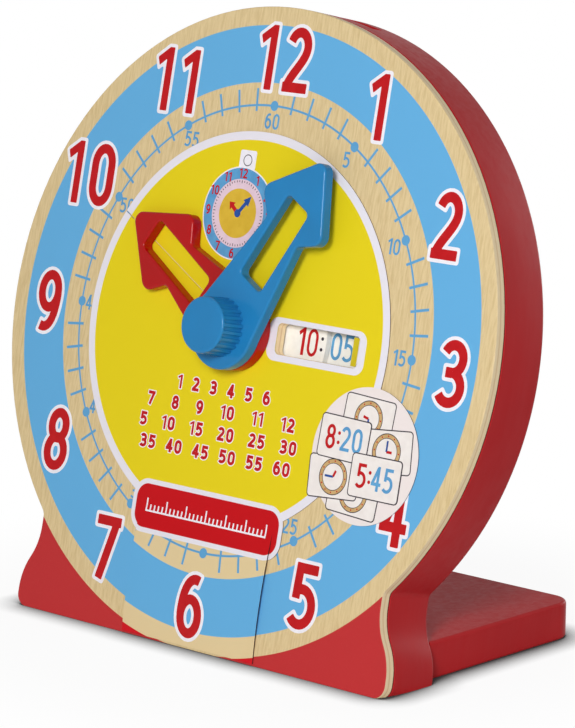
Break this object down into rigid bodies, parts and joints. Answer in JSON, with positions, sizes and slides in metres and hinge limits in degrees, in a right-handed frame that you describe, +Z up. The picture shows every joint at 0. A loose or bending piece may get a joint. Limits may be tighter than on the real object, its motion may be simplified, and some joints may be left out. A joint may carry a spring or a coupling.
{
  "type": "teaching clock",
  "caption": "Wooden teaching clock leaning back on a flared foot and base board, with turning hour and minute hands, a fluted knob and number discs read in a window.",
  "frame": {"origin": "on the surface the clock stands on, at the middle of the footprint's width and depth", "axes": "+X to the reader's right, +Y to the back, +Z up"},
  "size_m": [0.296, 0.1434, 0.2894],
  "materials": {
    "printed_face": "printed and varnished plywood",
    "red_lacquer": "satin red lacquer on wood",
    "beech": "bare beech",
    "plywood": "bare plywood",
    "printed_paper": "printed paper",
    "printed_card": "coated printed card",
    "steel": "zinc plated",
    "white_nylon": "moulded nylon",
    "felt": "pressed felt",
    "red_plastic": "moulded, semi gloss",
    "blue_plastic": "moulded, semi gloss"
  },
  "bodies": {
    "case": {"face_panel": "printed_face", "case_body": "red_lacquer", "rear_cover": "red_lacquer", "cover_screws": "steel", "base_board": "red_lacquer", "base_screws": "steel", "base_dowels": "beech", "panel_dowels": "beech", "face_bush": "white_nylon", "rear_bearing": "white_nylon", "bearing_screws": "steel", "hour_felt_washer": "felt", "display_card": "printed_card"},
    "hour": {"hour_hand": "red_plastic", "hour_sleeve": "white_nylon", "hour_disc": "plywood", "hour_number_ring": "printed_paper"},
    "minute": {"minute_hand": "blue_plastic", "knob": "blue_plastic", "minute_shaft": "steel", "minute_disc": "plywood", "minute_number_ring": "printed_paper", "minute_disc_hub": "white_nylon", "hub_screws": "steel", "hub_set_screw": "steel", "hand_washer": "white_nylon", "disc_spacer": "white_nylon", "rear_felt_washer": "felt"}
  },
  "joints": [
    {"name": "hour_turn", "type": "hinge", "parent": "case", "child": "hour", "pos_m": [0, -0.03987, 0.1449], "axis": [0, 0.977, -0.213], "continuous": true},
    {"name": "minute_turn", "type": "hinge", "parent": "case", "child": "minute", "pos_m": [0, -0.03987, 0.1449], "axis": [0, 0.977, -0.213], "continuous": true}
  ]
}
